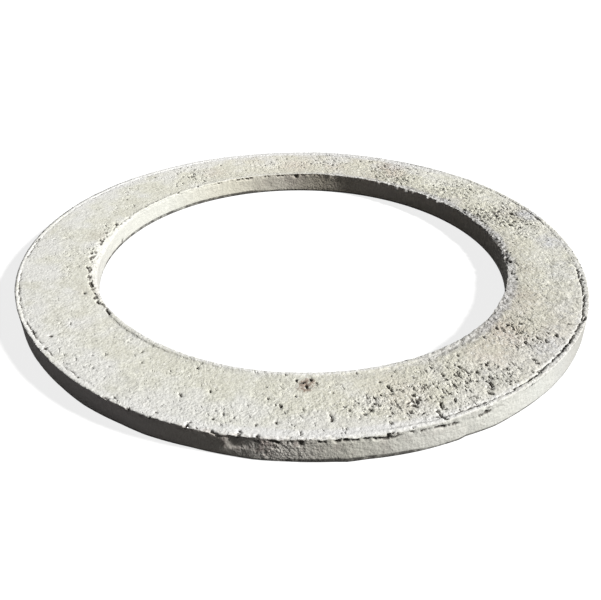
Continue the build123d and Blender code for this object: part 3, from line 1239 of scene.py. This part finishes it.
@dataclass(frozen=True)
class ConcreteFinish:
    """Weathered cast concrete, read from places on the ring and from the hollows that the casting notes, with
    shade painted into the hollows, onto the walls, along the brim and along the foot.
    """

    face: StruckFace = StruckFace()
    roughness: float = 0.93
    gloss: float = 0.25

    tints: dict[float, Colour] = field(default_factory=lambda: {
        -180: (0.745, 0.745, 0.68), -160: (0.74, 0.74, 0.68), -144: (0.79, 0.79, 0.735),
        -128: (0.735, 0.735, 0.67), -100: (0.72, 0.72, 0.645), -75: (0.69, 0.68, 0.6),
        -50: (0.66, 0.645, 0.57), -35: (0.61, 0.585, 0.52), -10: (0.67, 0.665, 0.59), 20: (0.7, 0.69, 0.605),
        50: (0.75, 0.745, 0.64), 75: (0.735, 0.71, 0.62), 100: (0.8, 0.78, 0.68), 140: (0.79, 0.79, 0.71),
        180: (0.745, 0.745, 0.68),
    })
    # the walls' own tint round the ring, with painted shade: darkest near -100 and 84, beside where the walls turn
    # away from the key light
    wall_tints_and_shade: dict[float, Colour] = field(default_factory=lambda: {
        -180: (0.66, 0.66, 0.63), -120: (0.58, 0.52, 0.53), -100: (0.41, 0.36, 0.31), -94: (0.5, 0.45, 0.39),
        -82: (0.53, 0.52, 0.43), -68: (0.7, 0.7, 0.65), -48: (0.74, 0.76, 0.74), -28: (0.42, 0.42, 0.41),
        20: (0.4, 0.35, 0.33), 60: (0.53, 0.46, 0.44), 84: (0.3, 0.25, 0.19), 97: (0.64, 0.6, 0.53),
        115: (0.83, 0.8, 0.67), 140: (0.76, 0.77, 0.72), 180: (0.66, 0.66, 0.63),
    })
    bleached_rim: RoundRing = RoundRing(0, 1, {
        -180: 0, -108: 0.1, -98: 0.8, -74: 0.8, -66: 0.3, -55: 0, 44: 0.1, 60: 0.8, 112: 0.9, 150: 0.6,
        165: 0.1, 180: 0,
    })
    clouded: RoundRing = RoundRing(0, 1, {
        -180: 1, -95: 0.9, -60: 0.6, -40: 0.35, 40: 0.35, 60: 0.8, 180: 1,
    })
    # where the brown blotches go: over the outer wall's spall and where the light grazes both walls; partly stain,
    # partly painted shade
    stained_and_shaded: RoundRing = RoundRing(0, 1, {
        -180: 0, -112: 0, -100: 0.8, -92: 0.9, -87: 0.35, -75: 0.2, -45: 0, 70: 0, 85: 0.5, 105: 0.3, 120: 0.1,
        180: 0,
    })
    # how high the painted contact shadow reaches up the walls, round the ring
    foot_shadow_height: RoundRing = RoundRing(0, 10, {
        -180: 5, -97: 5, -90: 8.2, -74: 8.4, -70: 5.2, -40: 4.6, 60: 5, 103: 5.4, 108: 8.6, 150: 8.2, 180: 6.4,
    })
    inner_crest: RoundRing = RoundRing(0, 1, {
        -180: 0.2, -152: 0.6, -100: 1, -68: 0.9, -56: 0, 34: 0, 42: 0.9, 85: 0.9, 95: 0.4, 135: 0.3, 180: 0.2,
    })
    outer_crest: RoundRing = RoundRing(0, 1, {
        -180: 0.4, -130: 0.5, -100: 0.8, -62: 0.8, -10: 0.6, 10: 0.3, 30: 0.3, 60: 0.6, 180: 0.5,
    })
    # painted shade on the outer brim, only where the outer wall faces away from the key light
    brim_shade: RoundRing = RoundRing(0, 1, {
        -180: 0.75, -150: 0.75, -138: 0.3, -110: 0, 20: 0, 60: 0.35, 120: 0.35, 140: 0.6, 180: 0.75,
    })
    bloom: Patch = Patch(-144.7, 396, 30, 1)
    pink_patches: Patches = Patches(
        (-39, 378, 50, 0.9), (-48, 390, 50, 0.6), (-72, 400, 60, 0.3), (-25, 365, 50, 0.5), (64, 440, 45, 0.9),
        (92, 385, 50, 0.9), (61, 400, 35, 1), (80, 395, 35, 0.5), (118, 395, 40, 0.6),
    )
    brown_smudges: Patches = Patches(
        (-20, 370, 40, 0.55), (-8, 372, 40, 0.35), (22, 432, 45, 0.45), (5, 368, 40, 0.3), (36, 368, 35, 0.25),
        (66, 370, 35, 0.35), (67, 442, 35, 0.2), (6, 440, 38, 0.12), (-36, 446, 35, 0.18), (-70, 420, 45, 0.2),
        (65, 415, 35, 0.3), (82, 400, 40, 0.15), (88, 444, 42, 0.25), (104, 444, 42, 0.3),
        (-36, 376, 36, 0.35), (172, 366, 32, 0.4), (-158, 364, 30, 0.2),
    )
    grey_smudges: Patches = Patches(
        (-8, 425, 40, 0.25), (6, 440, 38, 0.8), (-36, 452, 25, 0.4), (-40, 445, 45, 0.45), (20, 455, 35, 0.9),
        (-22, 430, 35, 0.2), (-54, 428, 30, 0.35), (36, 358, 30, 0.4), (64, 452, 40, 0.7),
    )
    brown_patches: Patches = Patches(
        (-88.4, 361, 12, 1.6), (-89.2, 370, 16, 1.6), (65, 415, 16, 0.3),
    )

    def build(self) -> bpy.types.Material:
        """Builds the material.

        Returns:
            The material.
        """
        material = bpy.data.materials.new("cast_concrete")
        graph = emptied(material)
        on = Surface(graph, self.face)
        shade = on.speckle * (on.coarse * 0.8 + 1.2) * on.calm
        shade = shade + on.mottle * (on.coarse * on.wall + 0.25 + on.uneven * 0.8)
        shade = shade + on.cloud * 0.35 + on.streak * on.wall * 0.4 + 1
        coat = Coat(graph, graph.vector("SCALE", on.place.ramp(self.tints), shade))
        self._face(coat, on)
        self._grain(coat, on)
        self._walls(coat, on)
        self._edges(coat, on)
        sockets = {
            "Base Color": coat.colour,
            "Roughness": self.roughness,
            "Specular IOR Level": self.gloss,
            "Normal": self._bump(graph, on),
        }
        shader = graph.node("ShaderNodeBsdfPrincipled", {}, sockets)
        graph.node("ShaderNodeOutputMaterial", {}, {"Surface": shader.outputs[0]})
        return material

    def _face(self, coat: Coat, on: Surface) -> None:
        """Lays the face's stains, smudges and bleached patches.

        Args:
            coat: The colour.
            on: The surface.
        """
        graph, place = coat.graph, on.place
        tone = graph.noise(place.point, 12, 2, 0.6) * 5
        coat.lay(Shade.CREAM, (tone - 0.25).held() * (on.uneven * 0.35 + 0.15) * on.flat)
        coat.lay(Shade.BLUE_GREY, (-0.35 - tone).held() * (on.uneven * 0.45 + 0.1) * on.flat)
        coat.lay(Shade.BROWN_SMUDGE, (self.brown_smudges.at(place) * (on.mottle * 3 + 0.8)).held())
        coat.lay(Shade.GREY_SMUDGE, (self.grey_smudges.at(place) * (on.mottle * 3 + 0.8)).held())
        coat.lay(Shade.PINK, (self.pink_patches.at(place) * (on.mottle * 2 + 0.7)).held() * 0.7)
        outward = graph.ease(place.radius, 385, 455)
        cloud = (outward * 0.9 + on.cloud * 5 - 0.1).held() * self.clouded.at(place)
        coat.lay(Shade.CLOUD, cloud * on.flat * 0.65)
        bloom = self.bloom.at(place) * (on.mottle * 2 + 1).held()
        bleached = graph.ease(place.radius, 450, 457) * self.bleached_rim.at(place)
        coat.lay(Shade.BLEACHED, bleached.at_least(bloom))
        coat.lay(Shade.WARM, ((1 - outward) * 0.9 - on.cloud * 4 - 0.3).held() * on.flat * 0.5)
        coat.lay(Shade.WORN, graph.ease(place.radius, 398, 366) * on.uneven * (on.mottle * 4 + 0.8).held() * 0.3)

    def _grain(self, coat: Coat, on: Surface) -> None:
        """Lays the pale and dark grains, and the cluster of brown pits.

        Args:
            coat: The colour.
            on: The surface.
        """
        graph, place = coat.graph, on.place
        pale = (graph.noise(place.point, 5.2, 2, 0.7) * 7 - 0.3).held()
        coat.lay(Shade.PALE_GRAIN, pale * (on.coarse * 0.3 + 0.6) * on.calm)
        dark = (graph.noise(place.point, 4.6, 2, 0.7) * 8 - 0.8).held()
        coat.lay(Shade.DARK_GRAIN, dark * (on.coarse * 0.55 + 0.3) * on.calm)
        brown = self.brown_patches.at(place) * (on.speckle * 7 + on.mottle * 4 + 0.5)
        coat.lay(Shade.BROWN_PITS, brown.held() * 0.8)

    def _walls(self, coat: Coat, on: Surface) -> None:
        """Lays the walls' tints and brown blotches, both partly painted shade, the frayed edge beside the opening
        with painted shade in its gaps, and the painted contact shadow along the foot.

        Args:
            coat: The colour.
            on: The surface.
        """
        graph, place = coat.graph, on.place
        bare = (on.wall * (0.75 - on.wall_rough * 0.3) + on.broken * 0.5).held()
        # the walls' tints, which carry painted shade near where the walls turn from the key light
        coat.lay(place.ramp(self.wall_tints_and_shade), bare)
        coat.lay(Shade.FRAYED, on.fray * 0.65)
        # painted shade in the gaps between the crumbs
        coat.lay(Shade.GAP_SHADE, (self.face.crumbs(place) * -9 + 0.05).held() * on.fray * 0.8)
        # brown blotches, partly stain and partly painted shade
        stain_and_shade = (graph.noise(place.point, 16, 3, 0.6) * 9 - 0.2).held() * self.stained_and_shaded.at(place) * on.wall
        coat.lay(Shade.STAIN_AND_SHADE, stain_and_shade * 0.8)
        # painted contact shadow along the foot of both walls
        line = self.foot_shadow_height.at(place)
        coat.lay(Shade.FOOT_SHADOW, graph.ease(place.z, line, line - 2.3) * (on.mottle * 3 + 0.9).held() * 0.92)

    def _edges(self, coat: Coat, on: Surface) -> None:
        """Lays the pale crests of both lips, the painted shade along the outer brim, and the painted shade in the
        pits and hollows.

        Args:
            coat: The colour.
            on: The surface.
        """
        ease, place = coat.graph.ease, on.place
        crest = ease(place.radius, 349.5, 346) * self.inner_crest.at(place)
        crest = crest + ease(place.radius, 455, 461) * self.outer_crest.at(place)
        coat.lay(Shade.CREST, (crest * (on.speckle * 5 + 0.7).held() * on.flat).held())
        # painted shade along the outer brim
        brim_shade = ease(place.radius, 466.6, 468.6) * self.brim_shade.at(place)
        coat.lay(Shade.BRIM_SHADE, brim_shade * (on.mottle * 3 + 0.9).held())
        # painted shade in the pits and in the noted hollows
        coat.lay(Shade.HOLLOW_SHADE, (ease(on.pits, 0.3, 1.7) * 0.85).at_least(ease(on.hollow, 0.15, 0.8) * 0.92))

    @staticmethod
    def _bump(graph: Graph, on: Surface) -> Socket:
        """Works out the fine relief.

        Args:
            graph: The material's tree.
            on: The surface.

        Returns:
            The bumped normal.
        """
        fine = graph.noise(on.place.point, 3.4, 1.5) * (on.coarse * 1.8 + 0.8)
        fine = fine + graph.noise(on.place.point, 6.5, 2) * (on.coarse * 2.2 + 0.7)
        height = fine * on.calm - on.pits * 0.9 + on.streak * on.wall * 0.3
        return graph.node("ShaderNodeBump", {}, {"Strength": 1, "Distance": MM, "Height": height}).outputs[0]


@dataclass(frozen=True)
class Studio:
    """A pale floor, a white surround and one soft key light from the right. The floor's size is in metres."""

    floor_half: float = 30
    floor_glow: float = 0.82
    floor_shade: float = 0.36
    floor_bounce: float = 0.11
    fill: float = 0.04
    key_bearing: float = -15.5
    key_elevation: float = 37.5
    key_width: float = 7
    key_share: float = 0.94
    key_colour: Colour = (1, 0.99, 0.97)

    @staticmethod
    def _seen(graph: Graph) -> Number:
        """Gives 1 where the camera looks, straight or by way of a glossy or clear surface, and 0 elsewhere."""
        ray = graph.node("ShaderNodeLightPath").outputs
        return (graph.number(ray["Is Camera Ray"]) + ray["Is Glossy Ray"] + ray["Is Transmission Ray"]).held()

    def floor(self) -> bpy.types.Object:
        """Makes the floor, white to the camera apart from the ring's shadow.

        Returns:
            The floor.
        """
        half = self.floor_half
        mesh = bpy.data.meshes.new("pale_floor")
        corners = [(-half, -half, 0), (half, -half, 0), (half, half, 0), (-half, half, 0)]
        mesh.from_pydata(corners, [], [(0, 1, 2, 3)])
        material = bpy.data.materials.new("pale_floor")
        graph = emptied(material)
        matt, dull = (
            graph.node("ShaderNodeBsdfDiffuse", {}, {"Color": (grey, grey, grey, 1)}).outputs[0]
            for grey in (self.floor_shade, self.floor_bounce)
        )
        glow = graph.node("ShaderNodeEmission", {}, {"Color": (1, 1, 1, 1), "Strength": self.floor_glow})
        lit = graph.node("ShaderNodeAddShader", {}, {0: matt, 1: glow.outputs[0]})
        both = graph.node("ShaderNodeMixShader", {}, {0: self._seen(graph), 1: dull, 2: lit.outputs[0]})
        graph.node("ShaderNodeOutputMaterial", {}, {"Surface": both.outputs[0]})
        mesh.materials.append(material)
        floor = placed("pale_floor", mesh)
        return floor

    def surround(self) -> None:
        """Makes the world white to the camera and a weak even fill to the ring."""
        world = bpy.data.worlds.new("surround")
        graph = emptied(world)
        strength = self._seen(graph) * (1 - self.fill) + self.fill
        sky = graph.node("ShaderNodeBackground", {}, {"Color": (1, 1, 1, 1), "Strength": strength})
        graph.node("ShaderNodeOutputWorld", {}, {"Surface": sky.outputs[0]})
        bpy.context.scene.world = world

    def key(self) -> bpy.types.Object:
        """Makes the key light, at a level where level surfaces show their colour as it is written.

        Returns:
            The light.
        """
        lift, bearing = math.radians(self.key_elevation), math.radians(self.key_bearing)
        light = bpy.data.lights.new("key", "SUN")
        light.angle = math.radians(self.key_width)
        light.energy = self.key_share * math.pi / math.sin(lift)
        light.color = self.key_colour
        lamp = placed("key", light)
        towards = Vector((math.cos(bearing) * math.cos(lift), math.sin(bearing) * math.cos(lift), math.sin(lift)))
        lamp.rotation_euler = towards.to_track_quat("Z", "Y").to_euler()
        return lamp


@dataclass(frozen=True)
class Viewpoint:
    """The camera, as the photograph was taken. Its place and aim are in metres."""

    stand: tuple[float, float, float] = (0, -1.14196, 0.6506)
    aim: tuple[float, float, float] = (-0.00236, -0.09633, 0)
    roll: float = 0.488
    lens: float = 45.07
    sensor: float = 36
    near: float = 0.02
    far: float = 100

    def build(self) -> bpy.types.Object:
        """Makes the camera and hands it to the scene.

        Returns:
            The camera.
        """
        data = bpy.data.cameras.new("camera")
        data.sensor_width, data.lens = self.sensor, self.lens
        data.clip_start, data.clip_end = self.near, self.far
        camera = placed("camera", data)
        level = (Vector(self.aim) - Vector(self.stand)).to_track_quat("-Z", "Y").to_matrix()
        turned = level @ Matrix.Rotation(math.radians(self.roll), 3, "Z")
        camera.matrix_world = Matrix.Translation(self.stand) @ turned.to_4x4()
        bpy.context.scene.camera = camera
        return camera


def main() -> None:
    """Builds the scene: camera, light and floor, then the ring over its solid."""
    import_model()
    Viewpoint().build()
    studio = Studio()
    studio.floor()
    studio.surround()
    studio.key()
    material = ConcreteFinish().build()
    piece = Casting().build(material)
    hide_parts("adjustment_ring")
    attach(piece, "root")
    LOG.info("%s: %d triangles", piece.name, triangles_of(piece.data))
    bpy.context.scene.view_settings.view_transform = "Standard"


if __name__ == "__main__":
    logging.basicConfig(level=logging.INFO)
    main()
